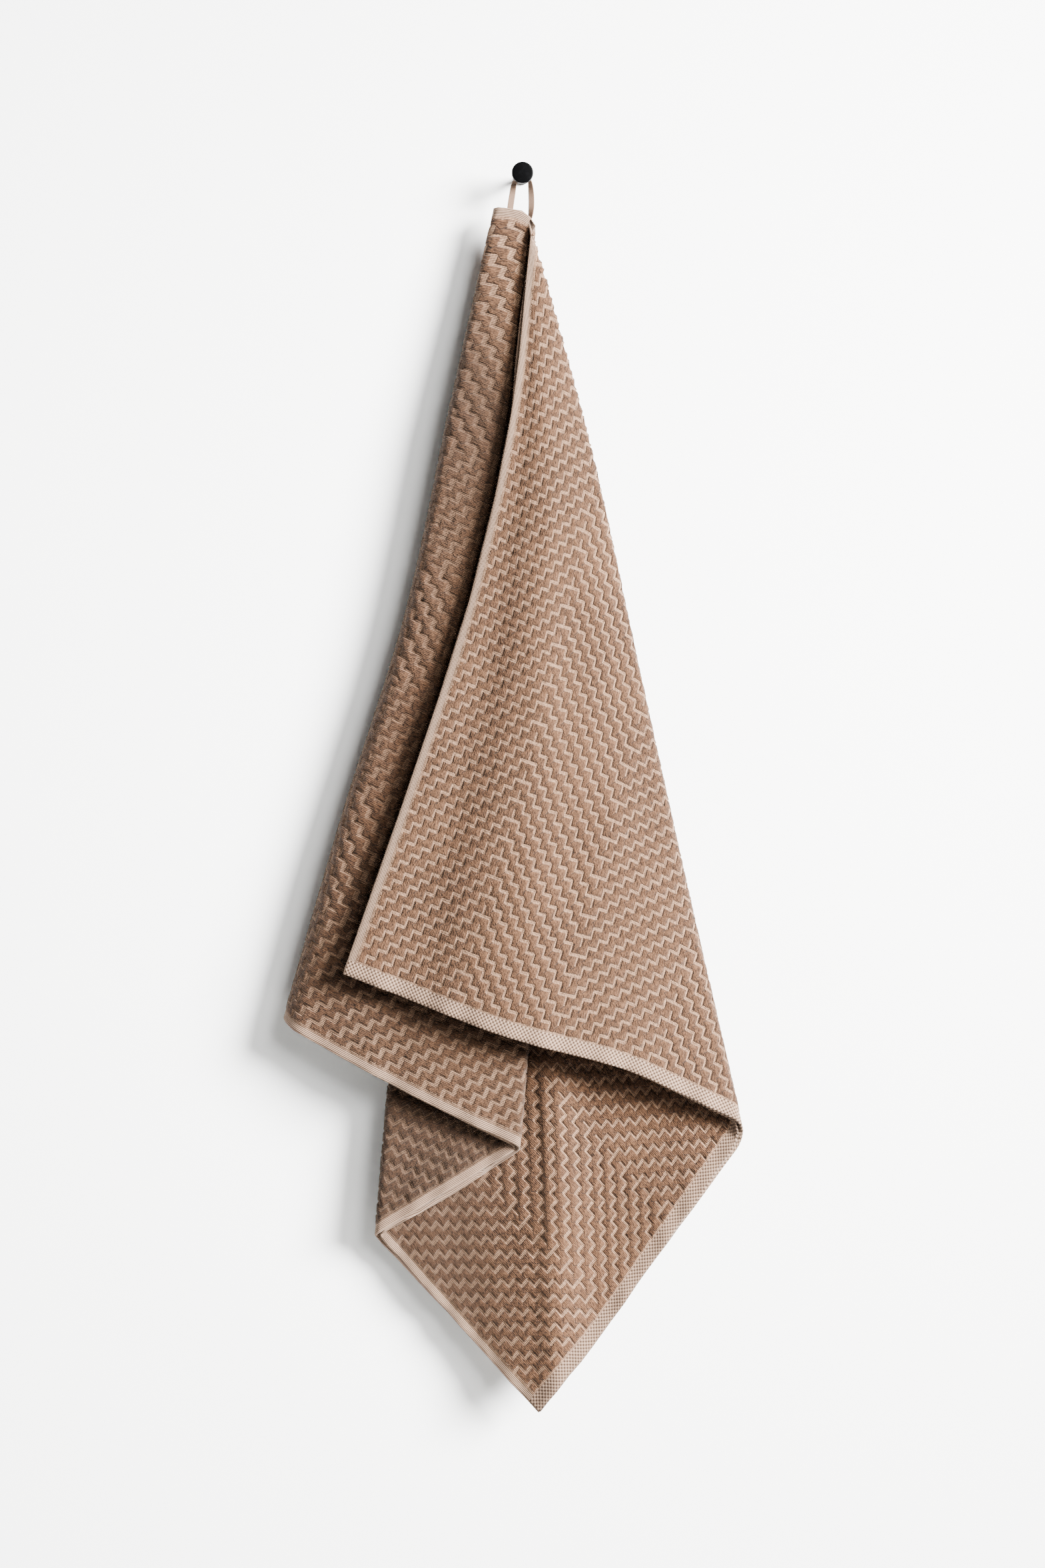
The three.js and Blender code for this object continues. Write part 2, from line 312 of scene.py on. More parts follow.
def hook_mesh():
    """The profile of radius against reach is turned once round the Y axis. Its first and last
    points lie on the axis, so each is one point with a fan of triangles round it."""
    head_back = HOOK_REACH - HEAD_DEPTH
    rim_at = HEAD_RADIUS - HEAD_RIM
    face_at = WALL_FACE_RADIUS - WALL_FACE_RIM
    cove_at = STEM_RADIUS + STEM_COVE
    crown = np.linspace(rim_at, 0.0, CROWN_STEPS + 1)[1:-1]
    profile = np.concatenate([
        [(WALL_FACE_RADIUS - WALL_FACE_EDGE, 0.0), (WALL_FACE_RADIUS, WALL_FACE_EDGE)],
        arc(face_at, WALL_FACE_DEPTH - WALL_FACE_RIM, WALL_FACE_RIM, 0, 90),
        arc(cove_at, WALL_FACE_DEPTH + STEM_COVE, STEM_COVE, 270, 180),
        arc(cove_at, head_back - STEM_COVE, STEM_COVE, 180, 90),
        arc(rim_at, head_back + HEAD_RIM, HEAD_RIM, 270, 360),
        arc(rim_at, HOOK_REACH - HEAD_CROWN - HEAD_RIM, HEAD_RIM, 0, 90),
        np.stack([crown, HOOK_REACH - HEAD_CROWN * (crown / rim_at) ** 2], axis=1),
    ])
    turn = np.linspace(0.0, 2 * math.pi, HOOK_SIDES, endpoint=False)
    radius, reach = profile[:, :1], profile[:, 1:]
    rings = np.stack([radius * np.cos(turn), -reach + 0 * turn, radius * np.sin(turn)], axis=-1)
    points = np.concatenate([rings.reshape(-1, 3), [(0.0, 0.0, 0.0), (0.0, -HOOK_REACH, 0.0)]])
    first_pole, last_pole = len(points) - 2, len(points) - 1
    ring = np.arange(len(profile) - 1)[:, None] * HOOK_SIDES
    here = (ring + np.arange(HOOK_SIDES)).ravel()
    beside = (ring + (np.arange(HOOK_SIDES) + 1) % HOOK_SIDES).ravel()
    first = np.arange(HOOK_SIDES)
    second = (first + 1) % HOOK_SIDES
    last = first_pole - HOOK_SIDES
    triangles = np.concatenate([
        np.stack([here, here + HOOK_SIDES, beside + HOOK_SIDES], axis=1),
        np.stack([here, beside + HOOK_SIDES, beside], axis=1),
        np.stack([np.full(HOOK_SIDES, first_pole), first, second], axis=1),
        np.stack([np.full(HOOK_SIDES, last_pole), last + second, last + first], axis=1),
    ])
    return points, triangles


def black_paint():
    """Matt black powder paint with a fine grain, a little worn to a softer black in places."""
    paint = Paint("black paint")
    place = paint.node("ShaderNodeTexCoord", out="Object")
    grain = paint.noise(place, PAINT_GRAIN)
    wear = paint.noise(place, PAINT_WEAR)
    colour = paint.mix(paint.soft_step(wear, 0.45, 0.75), PAINT_BLACK, PAINT_WORN)
    return paint.finish(colour, grain * 0.15 + 0.38, grain, 0.03, Specular_IOR_Level=0.03)


hook = new_object("turned_hook", *hook_mesh(), black_paint())
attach(hook, "root")
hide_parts("wall_hook")


# Hanging loop
# One narrow woven cotton tape, both ends sewn behind the middle of the towel's upper hem. It passes
# over the hook's stem. Its left strand faces the viewer and its right one turns half away.
TAPE_WIDTH = 0.0055
TAPE_THICK = 0.0010
TAPE_CLEARANCE = 0.0004
TAPE_CORNERS = 20
TAPE_ROUNDING = (0.6, 0.45)
TAPE_EDGE_BEAD = 0.22
TAPE_RIB_PITCH = 0.0009
TAPE_FUZZ = 2200.0
TAPE_DARK = (0.085, 0.048, 0.031, 1.0)
TAPE_LIGHT = (0.20, 0.127, 0.086, 1.0)
SEAT_RADIUS = STEM_RADIUS + TAPE_THICK / 2 + TAPE_CLEARANCE
SEAT_STEP = SEAT_RADIUS * math.sqrt(0.5)
SEAT_SIDE = SEAT_RADIUS + 0.0002
TAPE_DEPTH = -0.027
TAPE_STEPS = 150
TAPE_ROUTE = np.array([
    # x, depth y, height z, and the turn of the tape from lying flat on the stem, in degrees
    (-0.0122, -0.0282, -0.044, 90.0),
    (-0.0112, -0.0280, -0.032, 90.0),
    (-0.0092, -0.0273, -0.018, 84.0),
    (-0.0072, TAPE_DEPTH, -0.007, 50.0),
    (-SEAT_SIDE, TAPE_DEPTH, 0.0, 0.0),
    (-SEAT_STEP, TAPE_DEPTH, SEAT_STEP, 0.0),
    (0.0, TAPE_DEPTH, SEAT_RADIUS, 0.0),
    (SEAT_STEP, TAPE_DEPTH, SEAT_STEP, 0.0),
    (SEAT_SIDE, TAPE_DEPTH, 0.0, 0.0),
    (0.0069, TAPE_DEPTH, -0.008, -40.0),
    (0.0079, -0.0266, -0.022, -72.0),
    (0.0074, -0.0260, -0.034, -52.0),
    (0.0054, -0.0258, -0.0455, 0.0),
])


def tape_mesh():
    """A flat oval with thickened edges, carried along the route and turned about it. Its first
    axis is the depth direction turned by the route's angle, its second is square to that."""
    share = np.linspace(0.0, 1.0, TAPE_STEPS)
    route = smooth_through(TAPE_ROUTE.T, share).T
    middle = route[:, :3]
    turn = np.radians(route[:, 3:])
    along = unit(np.gradient(middle, axis=0))
    depth_axis = np.array([0.0, 1.0, 0.0])
    out = unit(np.cross(along, depth_axis))
    across = depth_axis * np.cos(turn) + out * np.sin(turn)
    up = out * np.cos(turn) - depth_axis * np.sin(turn)
    corners = TAPE_CORNERS
    angle = np.linspace(0.0, 2 * math.pi, corners, endpoint=False)
    width = np.sign(np.cos(angle)) * np.abs(np.cos(angle)) ** TAPE_ROUNDING[0]
    edge_bead = 1 - TAPE_EDGE_BEAD + TAPE_EDGE_BEAD * np.abs(width) ** 3
    thick = np.sign(np.sin(angle)) * np.abs(np.sin(angle)) ** TAPE_ROUNDING[1] * edge_bead
    points = (middle[:, None] + across[:, None] * (width * TAPE_WIDTH / 2)[None, :, None]
              + up[:, None] * (thick * TAPE_THICK / 2)[None, :, None])
    step = np.arange(TAPE_STEPS - 1)[:, None] * corners
    here = (step + np.arange(corners)).ravel()
    beside = (step + (np.arange(corners) + 1) % corners).ravel()
    fan = np.arange(1, corners - 1)
    last = (TAPE_STEPS - 1) * corners
    triangles = np.concatenate([
        np.stack([here, beside, beside + corners], axis=1),
        np.stack([here, beside + corners, here + corners], axis=1),
        np.stack([0 * fan, fan + 1, fan], axis=1),
        np.stack([last + 0 * fan, last + fan, last + fan + 1], axis=1),
    ])
    run = np.concatenate([[0.0], np.cumsum(np.linalg.norm(np.diff(middle, axis=0), axis=1))])
    flat = np.stack(np.broadcast_arrays(run[:, None], (width * TAPE_WIDTH / 2)[None]), axis=-1)
    return points.reshape(-1, 3), triangles, flat.reshape(-1, 2)


def tape_cloth():
    """A fine herringbone: slanted ribs that change side at the middle of the tape."""
    paint = Paint("tape")
    flat = paint.node("ShaderNodeUVMap", {"uv_map": "cloth"})
    along = paint.node("ShaderNodeSeparateXYZ", {}, {0: flat})
    rib = (along + abs(along.output(1))).wave(TAPE_RIB_PITCH)
    fuzz = paint.noise(flat, TAPE_FUZZ) - 0.5
    shade = rib * 0.30 + fuzz * 1.2 + 0.5
    colour = paint.mix(shade, TAPE_DARK, TAPE_LIGHT)
    return paint.finish(colour, 0.9, rib * 0.5 + fuzz, 0.10, Specular_IOR_Level=0.2)


tape_points, tape_triangles, tape_flat = tape_mesh()
tape = new_object("loop_tape", tape_points, tape_triangles, tape_cloth(), tape_flat)
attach(tape, "root")
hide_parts("hanging_loop")


# Towel
# One cotton bath towel of 0.70 by 1.40 m, with velour pile in raised stepped bands on a ribbed
# ground, narrow hems on its long edges and flat woven ones on its ends. It is laid double, middle
# fold to the left, and folded back and forth into a fan that opens downwards from its loop.
CLOTH_WIDTH = 0.70
HALF_LENGTH = 0.70
LONG_HEM = 0.0070
END_HEM = 0.0125
CELLS_ACROSS = 84
CELLS_ALONG = 82
CELLS_PER_ARM = 12
CELL_ACROSS = (CLOTH_WIDTH - 2 * LONG_HEM) / CELLS_ACROSS
CELL_ALONG = (HALF_LENGTH - END_HEM) / CELLS_ALONG

# The relief. The ground shows along the steps. Its lines get narrower from the middle of the towel to
# NARROW_FROM, and wider by GROUND_MORE beyond the diagonal of each half, where the nap is turned.
GROUND_HALF_WIDE = 0.0018
GROUND_HALF_NARROW = 0.0014
GROUND_MORE = 0.0005
NARROW_FROM = 0.40
NAP_TURN = 0.12
RISER_SHARE = 0.62
GROOVE_SLOPE = 0.00055
GROOVE_DEPTH = 0.0014
HEM_DEPTH = 0.0008
HEM_STRIPS = 3
TUFT_UNEVEN = 0.00035
EDGE_UNEVEN = 0.0004
SEED = 11

# The fan of two layers
LAYER_THICK = 0.0028
LAYER_PITCH = 0.0050
RIM_BULGE = 0.3
TOP_SQUEEZE = 0.45
SQUEEZE_REACH = 0.25
FAN_START = 0.04
MIDDLE_TURN = 0.004
FOLDS = (
    # name, place round the rim in cloth widths, half width of the bend, height at the top hem and
    # at the rim, x at five levels from hem to rim, y at the same levels; heights, x and y in mm;
    # each fold that turns back has a corner in front and one at the back
    ("front edge", 0.0, 0.0, -52, -705, (8, -9.5, -46, -99, -156), (-39, -55, -62, -67, -71)),
    ("front crest", 0.225, 0.07, -51.5, -759, (8.2, 18.1, 13.7, -0.1, -15.5), (-39, -59, -73, -84, -91)),
    ("front hollow", 0.4, 0.05, -51, -788, (8.4, 39.6, 60.2, 76.8, 93.7), (-39, -54, -62, -69, -75)),
    ("right front", 0.5575, 0.0135, -50, -838, (8.6, 59, 102, 146, 192), (-39, -47, -50, -51, -51)),
    ("right back", 0.5855, 0.0135, -50, -857, (8.6, 59, 102, 146, 192), (-22, -28, -31, -32, -33)),
    ("ridge, right", 0.895, 0.045, -50, -1040, (8.2, 22.4, 34.8, 47.4, 59.8), (-20, -24.5, -29, -31.5, -34)),
    ("low ridge", 0.96, 0.040, -50, -1070, (8.1, 14.7, 20.7, 26.7, 32.1), (-19.3, -23.5, -32, -48, -58)),
    ("lowest corner", 1.0, 0.0, -50, -1093, (8, 10, 12, 14, 15), (-19, -23, -30, -40, -47)),
    ("ridge, left", 1.1, 0.05, -50, -1043, (6.6, -3, -14.1, -27.2, -34.1), (-18.7, -20.5, -23, -26.5, -30)),
    ("left back", 1.2914, 0.0083, -50, -942, (4, -28, -64, -106, -128), (-18, -18, -19, -22, -25)),
    ("left front", 1.3086, 0.0083, -50, -938, (4, -28, -64, -106, -128), (-23.5, -27.5, -30, -34, -37.5)),
    ("inner back", 1.52, 0.0083, -48, -862, (9.5, 10, 14, 10, -5), (-24.5, -33, -39.5, -47, -52)),
    ("inner front", 1.5371, 0.0083, -46.5, -857, (10.5, 10, 14, 10, -5), (-30.5, -43, -50.5, -58, -63)),
    ("back swell", 1.7, 0.11, -30, -811, (1.5, -25, -43, -72, -103), (-31, -43, -50, -55, -58)),
    ("outer front", 1.8457, 0.0257, -30, -752, (-24.5, -62.5, -101, -157, -209), (-31, -39, -42, -43, -43)),
    ("outer back", 1.8971, 0.0257, -30, -742, (-24.5, -62.5, -101, -157, -209), (-22, -12, -7.5, -7.5, -7.5)),
    ("middle fold", 2.0, 0.0, -30, -730, (-14, -50, -76, -118, -150), (-22, -12, -7.5, -7.5, -7.5)),
)
RIPPLES = (
    # name, place round the rim, half width, rise towards the viewer at the rim in mm
    ("trough by the front edge", 0.09, 0.08, -6.0),
    ("broad crest", 0.235, 0.1, 3.0),
)
FOLD_RIM = np.array([fold[1] for fold in FOLDS])
FOLD_ROUND = np.array([fold[2] for fold in FOLDS])
FOLD_TOP = 0.001 * np.array([fold[3] for fold in FOLDS])
FOLD_FOOT = 0.001 * np.array([fold[4] for fold in FOLDS])
FOLD_X = 0.001 * np.array([fold[5] for fold in FOLDS])
FOLD_Y = 0.001 * np.array([fold[6] for fold in FOLDS])
INNER_TURN_RIM = FOLD_RIM[[fold[0] for fold in FOLDS].index("inner front")]
SWAYS = (
    # waves a cloth width round the rim, waves from hem to rim, start in turns, height in mm
    (5.3, 1.7, 0.06, 0.50),
    (3.1, -3.3, 0.33, 0.45),
    (8.7, 4.9, 0.16, 0.30),
    (17.0, -2.0, 0.70, 0.15),
)
HEM_WAVES = (
    # the same, for the waves of the lower edges, which lie at the rim
    (22.0, 0.0, 0.10, 0.70),
    (13.0, 0.0, 0.55, 0.90),
)
HEM_WAVE_REACH = 0.06
SLIPS = (
    # name, share of the way down and half its length, place round the rim and half its width,
    # how far the rear layer slips to the left and down, in mm
    ("along the looped edge", 0.15, 0.13, 0.0, 0.25, 3.0, 0.0),
    ("under the inner fold", 1.0, 0.12, 1.42, 0.13, 0.0, 3.0),
)


def bump_at(value, centre, half_width):
    """1 at a centre, falling to 0 at half_width from it along a squared cosine."""
    return np.cos(np.clip((value - centre) / half_width, -1.0, 1.0) * math.pi / 2) ** 2


def waves(table, share, rim):
    """The sum of the table's sine waves over the fan, in metres."""
    return sum(0.001 * high * np.sin(2 * math.pi * (rim * across + share * down + start))
               for across, down, start, high in table)


def soft_ramp(distance, rounding):
    """0 before a bend, the distance after it, and a parabola through the bend."""
    safe = np.maximum(rounding, 1e-9)
    bend = (distance + safe) ** 2 / (4 * safe)
    return np.where(distance <= -rounding, 0.0, np.where(distance >= rounding, distance, bend))


def fan_point(share, rim, offset):
    """Places on the folded towel. In plan the folds are the corners of a zigzag at each share of
    the way down; every corner moves out by offset along its mitre, and the path between corners is
    straight, with a parabola at each bend. The ripples bring the front panel back and forward."""
    x = smooth_through(FOLD_X, share)
    y = smooth_through(FOLD_Y, share)
    z = FOLD_TOP[:, None] + (FOLD_FOOT - FOLD_TOP)[:, None] * share
    run = np.stack([np.diff(x, axis=0), np.diff(y, axis=0)])
    run /= np.linalg.norm(run, axis=0)
    normal = np.stack([run[1], -run[0]])
    before = normal[:, [0, *range(normal.shape[1])]]
    after = normal[:, [*range(normal.shape[1]), -1]]
    mitre = (before + after) / (1 + (before * after).sum(axis=0))
    corner = np.stack([x + offset * mitre[0], y + offset * mitre[1], z])
    slope = np.diff(corner, axis=1) / np.diff(FOLD_RIM)[None, :, None]
    change = np.diff(slope, axis=1, prepend=0.0)
    ramp = soft_ramp(rim[None, :] - FOLD_RIM[:-1, None], FOLD_ROUND[:-1, None])
    point = (corner[:, 0] + (change * ramp[None]).sum(axis=1)).T
    for _, centre, half_width, rise in RIPPLES:
        point[:, 1] -= 0.001 * rise * share * bump_at(rim, centre, half_width)
    near_rim = np.clip((share - 1 + HEM_WAVE_REACH) / HEM_WAVE_REACH, 0.0, 1.0) ** 2
    point[:, 1] -= share * waves(SWAYS, share, rim) + near_rim * waves(HEM_WAVES, share, rim)
    return point


def fan_place(along, across):
    """Where a flat place of one half lies in the fan: its share of the way from the fan's start
    under the loop to the rim, and its place round the rim in cloth widths."""
    share_end = (along - FAN_START) / (HALF_LENGTH - FAN_START)
    share_side = across / CLOTH_WIDTH
    on_end = share_end > share_side
    share = np.where(on_end, share_end, share_side)
    safe = np.maximum(share, 1e-6)
    rim_end = across / safe / CLOTH_WIDTH
    rim_side = 2.0 - (along - FAN_START * (1 - safe)) / safe / CLOTH_WIDTH
    top_spread = FAN_START / (CLOTH_WIDTH * (2.0 - INNER_TURN_RIM))
    rim_top = 2.0 - along / ((1 - safe) * top_spread + safe) / CLOTH_WIDTH
    rim_side = np.where(rim_side > INNER_TURN_RIM, rim_top, rim_side)
    return share, np.where(on_end, rim_end, rim_side)


def cloth_point(along, across, depth):
    """The place in the room of a flat place of the towel. along runs from -0.7 to 0.7 m, and its
    half below 0 is the front layer. depth is 0 on the pile side and 1 on the inner side, and may be
    an array. The two layers lie side by side, pressed together under the loop, and the rear one
    slips out a little beyond the front one on the upper part of the looped edge."""
    share, rim = fan_place(np.abs(along), across)
    open_out = TOP_SQUEEZE + (1 - TOP_SQUEEZE) * np.clip(share / SQUEEZE_REACH, 0.0, 1.0)
    reach = LAYER_PITCH / 2 + LAYER_THICK * (0.5 - depth)
    turn = np.clip(-along / MIDDLE_TURN, -1.0, 1.0) * math.pi / 2
    side, swell = np.sin(turn), np.cos(turn)
    point = fan_point(share, rim, side * reach * open_out)
    point[:, 0] += swell * reach * open_out
    rear = np.clip(along / MIDDLE_TURN, 0.0, 1.0)
    for _, share_at, share_half, rim_at, rim_half, left, down in SLIPS:
        hump = bump_at(share, share_at, share_half) * bump_at(rim, rim_at, rim_half) * rear
        point[:, 0] -= 0.001 * left * hump
        point[:, 2] -= 0.001 * down * hump
    return point


def stair_height(across, rear):
    """How many cells the stair has climbed: one a column, turning back after each arm. On the rear
    half the first arm runs on in the second one's direction."""
    arm = CELLS_PER_ARM
    return arm - np.abs(np.mod(across, 2 * arm) - arm) + 2 * rear * np.maximum(arm - across, 0)


def stair(across, along, rear):
    """The stepped pattern in cells: whether a place is on a tread line and whether it is on a riser
    line."""
    column = np.floor(stair_height(across, rear))
    edge = stair_height(np.round(across), rear)
    tread = np.isclose(np.mod(np.round(along) + column, 2), 0)
    riser = np.mod(np.floor(along + edge), 2) == 0
    return tread, riser


def relief_lines(cells):
    """Grid lines in cells: each cell edge has a line on it and one on each side of it."""
    edge = np.repeat(np.arange(cells + 1), 3)
    side = np.tile([-1, 0, 1], cells + 1)
    return edge[1:-1], side[1:-1]


def towel_grid():
    """The flat places of the grid, how far each is sunk below the pile, and its sides of the cell
    edges. Lines run along the cell edges and on both sides of them; the hems have HEM_STRIPS each.
    In the names, u is across and v along, e a cell edge in cells, s the side of it and h the place
    in a hem."""
    hem_steps = np.linspace(1.0, 0.0, HEM_STRIPS + 1)[:-1]
    u_edge, u_side = relief_lines(CELLS_ACROSS)
    v_edge, v_side = relief_lines(CELLS_ALONG)
    hems = len(hem_steps)
    u_edge = np.concatenate([np.zeros(hems), u_edge, np.full(hems, CELLS_ACROSS)])
    u_side = np.concatenate([np.zeros(hems), u_side, np.zeros(hems)])
    u_hem = np.concatenate([-hem_steps, np.zeros(len(u_edge) - 2 * hems), hem_steps[::-1]])
    v_edge = np.concatenate([v_edge, np.full(hems, CELLS_ALONG)])
    v_side = np.concatenate([v_side, np.zeros(hems)])
    v_hem = np.concatenate([np.zeros(len(v_edge) - hems), hem_steps[::-1]])
    half = np.concatenate([-np.ones(len(v_edge)), np.ones(len(v_edge) - 1)])
    order = np.concatenate([np.arange(len(v_edge))[::-1], np.arange(1, len(v_edge))])
    ue, ve = np.meshgrid(u_edge, v_edge[order])
    us, vs = np.meshgrid(u_side, v_side[order])
    uh, vh = np.meshgrid(u_hem, v_hem[order])
    half = np.broadcast_to(half[:, None], ue.shape)
    narrow = np.clip(ve * CELL_ALONG / NARROW_FROM, 0.0, 1.0)
    turned = np.clip((ue / CELLS_ACROSS - ve / CELLS_ALONG) / NAP_TURN, 0.0, 1.0)
    half_ground = GROUND_HALF_WIDE + (GROUND_HALF_NARROW - GROUND_HALF_WIDE + GROUND_MORE * turned) * narrow
    groove_v = half_ground + GROOVE_SLOPE
    groove_u = half_ground * RISER_SHARE + GROOVE_SLOPE
    tread, riser = stair(ue + us * groove_u / CELL_ACROSS, ve + vs * groove_v / CELL_ALONG, half > 0)
    sunk = (us == 0) & (riser | (vs == 0)) | (vs == 0) & tread
    random = np.random.default_rng(SEED)
    uneven_u, uneven_v, uneven_top = random.uniform(-1.0, 1.0, (3, *ue.shape))
    across = LONG_HEM * (1 + uh) + ue * CELL_ACROSS + us * (groove_u + EDGE_UNEVEN * uneven_u)
    along = ve * CELL_ALONG + vs * (groove_v + EDGE_UNEVEN * uneven_v) + vh * END_HEM
    depth = np.where(sunk, GROOVE_DEPTH, TUFT_UNEVEN * (0.5 + 0.5 * uneven_top))
    in_hem = (uh != 0) | (vh != 0) | (ue == 0) & (us == 0) | (ue == CELLS_ACROSS) & (us == 0)
    in_hem |= (ve == CELLS_ALONG) & (vs == 0)
    depth = np.where(in_hem, HEM_DEPTH, depth)
    return half * along, across, depth, us, vs


def towel_mesh():
    """A closed sheet: the pile side on the fine grid, the inner side on every cell edge, and a
    rounded rim between them. Returns points, triangles, flat places and how many points of them
    are on the pile side, which come first."""
    along, across, sunk, us, vs = towel_grid()
    rows, columns = along.shape
    fine = cloth_point(along.ravel(), across.ravel(), sunk.ravel() / LAYER_THICK)

    # the inner side has only the lines on the cell edges, and the border
    keep_r = np.union1d(np.flatnonzero(vs[:, 0] == 0), [0, rows - 1])
    keep_c = np.union1d(np.flatnonzero(us[0] == 0), [0, columns - 1])
    coarse_along = along[np.ix_(keep_r, keep_c)]
    coarse_across = across[np.ix_(keep_r, keep_c)]
    coarse = cloth_point(coarse_along.ravel(), coarse_across.ravel(), np.ones(coarse_along.size))

    # the rim: a ring of points outside the middle between the two sides
    number = np.arange(rows * columns).reshape(rows, columns)
    loop = border_loop(rows, columns)
    owners = number[np.ix_(keep_r, keep_c)].ravel()
    inner_loop = border_loop(len(keep_r), len(keep_c), len(fine))
    inner_at = owners[inner_loop - len(fine)]
    rim_inner = cloth_point(along.ravel()[loop], across.ravel()[loop], np.ones(len(loop)))
    ring_start = len(fine) + len(coarse)
    outwards = unit(fine[loop] - fine[neighbour_inwards(rows, columns)])
    ring = (fine[loop] + rim_inner) / 2 + outwards * LAYER_THICK * RIM_BULGE
    points = np.concatenate([fine, coarse, ring])
    flat = np.concatenate([
        np.stack([along.ravel(), across.ravel()], axis=1),
        np.stack([coarse_along.ravel(), coarse_across.ravel()], axis=1),
        np.stack([along.ravel()[loop], across.ravel()[loop]], axis=1)])

    # triangles: both sides, the band from pile side to ring, and from the ring to the fewer points
    # of the inner side, where each of these has a fan of spokes and one closing triangle
    outer = grid_quads(rows, columns)
    inner = grid_quads(len(keep_r), len(keep_c), len(fine))[:, ::-1]
    step = np.arange(len(loop))
    after = np.roll(step, -1)
    ring_at = ring_start + step
    band = np.concatenate([
        np.stack([loop, ring_at, loop[after]], axis=1),
        np.stack([loop[after], ring_at, ring_at[after]], axis=1)])
    stops = np.flatnonzero(np.isin(loop, inner_at))
    owner = inner_loop[np.searchsorted(stops, step, side="right") - 1]
    spokes = np.stack([ring_at, owner, ring_at[after]], axis=1)
    close = np.stack([ring_start + stops, np.roll(inner_loop, 1), inner_loop], axis=1)
    triangles = np.concatenate([outer, inner, band, spokes, close])
    return points, triangles, flat, len(fine)


HIDDEN = (
    # which half, from and to this place round the rim, and from the top to this share of the way
    ("rear", 0.05, 0.50, 0.94),
    ("rear", 0.64, 1.28, 0.70),
    ("rear", 1.32, 1.51, 0.96),
    ("front", 1.34, 1.51, 0.80),
    ("front", 1.56, 2.10, 0.93),
)
THINNED_TO = 0.66
THIN_HIDDEN_FIRST = 10.0


def is_hidden(flat):
    """Whether folds hide the pile side at a flat place, so that its grid may be thinned there."""
    share, rim = fan_place(np.abs(flat[:, 0]), flat[:, 1])
    front = flat[:, 0] < 0
    return np.any([(front == (half == "front")) & (rim > start) & (rim < end) & (share < down)
                   for half, start, end, down in HIDDEN], axis=0)


# The cloth's threads. Pitches are in metres, noise in waves to a metre.
RIB_PITCH = 0.00135
PICK_PITCH = 0.0016
EYE_PITCH = 0.0038
FRAY_NOISE = 620.0
TUFT_NOISE = 700.0
STREAK_NOISE = 900.0
STREAK_STRETCH = 0.30
CLUMP_NOISE = 240.0
CLOUD_NOISE = 11.0

# The pile's edges: how far they are frayed, where the pile sets in beyond a line's half width, the
# gap past them, darkened with painted shade on the side the light from the right and above leaves
# in shade, and that shade's share beside treads and in the turned nap
PILE_FRAY = 0.0014
PILE_EDGE = (-0.0003, 0.0004)
GAP_WIDTH = 0.0007
GAP_SOFT = (0.2 * GAP_WIDTH, 0.8 * GAP_WIDTH)
GAP_FRAY = 0.0010
GAP_SHADE = 0.85
TREAD_GAP_SHADE = 0.25
GAP_SHADE_FADE_TURNED = 0.7

# The hems, from their edge: where the pile sets in beside them, how ragged it ends and how much
# painted shade darkens the rear layer's end hem
RAGGED = 0.0060
PILE_FROM_LONG_HEM = (LONG_HEM + 0.0018, LONG_HEM + 0.0028)
PILE_FROM_END_HEM = (END_HEM + 0.0006, END_HEM + 0.0016)
LONG_HEM_EDGE = (LONG_HEM - 0.0004, LONG_HEM + 0.0002)
END_HEM_EDGE = (END_HEM - 0.0004, END_HEM + 0.0002)
REAR_HEM_SHADE = 0.24

# The turned nap: how far from the middle and across it is brushed over the ground, where it catches
# the light from the side, and how much painted shade darkens it there and elsewhere
NEAR_MIDDLE = (0.28, 0.36)
BRUSHED_TO = (0.42, 0.62)
BRUSHED_OVER = 0.5
LIT_FROM = (0.15, 0.35)
NAP_SHADE_AMOUNT = 0.56
NAP_SHADE_FAR = 0.10
NAP_SHADE_LESS_LIT = 0.27

# the first two are browns of painted shade, for the gaps and for the turned nap and rear end hem
GAP_SHADOW_BROWN = (0.008, 0.0035, 0.0017, 1.0)
SHADE_BROWN = (0.012, 0.006, 0.003, 1.0)
PILE_DARK = (0.009, 0.0037, 0.0017, 1.0)
PILE_LIGHT = (0.098, 0.046, 0.022, 1.0)
GROUND_DARK = (0.036, 0.018, 0.010, 1.0)
GROUND_LIGHT = (0.235, 0.138, 0.083, 1.0)
HEM_DARK = (0.038, 0.021, 0.0125, 1.0)
HEM_LIGHT = (0.245, 0.160, 0.110, 1.0)
SHEEN_TINT = (1.0, 0.82, 0.70, 1.0)


def stair_wire(u, rear):
    """stair_height() as wires."""
    arm = CELLS_PER_ARM
    return arm - abs(u % (2 * arm) - arm) + (arm - u).math("MAXIMUM", 0.0) * rear * 2.0


def past_steps(u, v, rear):
    """How far a place in cells is past the nearest tread and the nearest riser's line, and how far
    beyond that riser's ends, in metres."""
    near_u = u.math("ROUND")
    over_tread = ((v + stair_wire(u, rear).math("FLOOR") + 1.0) % 2.0 - 1.0) * CELL_ALONG
    over_riser = (u - near_u) * CELL_ACROSS
    phase = (v + stair_wire(near_u, rear)) % 2.0
    beyond = (phase - 1.0).math("MINIMUM", 2.0 - phase).math("MAXIMUM", 0.0) * CELL_ALONG
    return over_tread, over_riser, beyond


def gap_shade_beside(paint, past, fray):
    """1 in the painted shade of the thin gap past the pile's edge on the side away from the light."""
    off_middle = abs(past + fray * GAP_FRAY - GAP_WIDTH / 2)
    return 1.0 - paint.soft_step(off_middle, *GAP_SOFT)


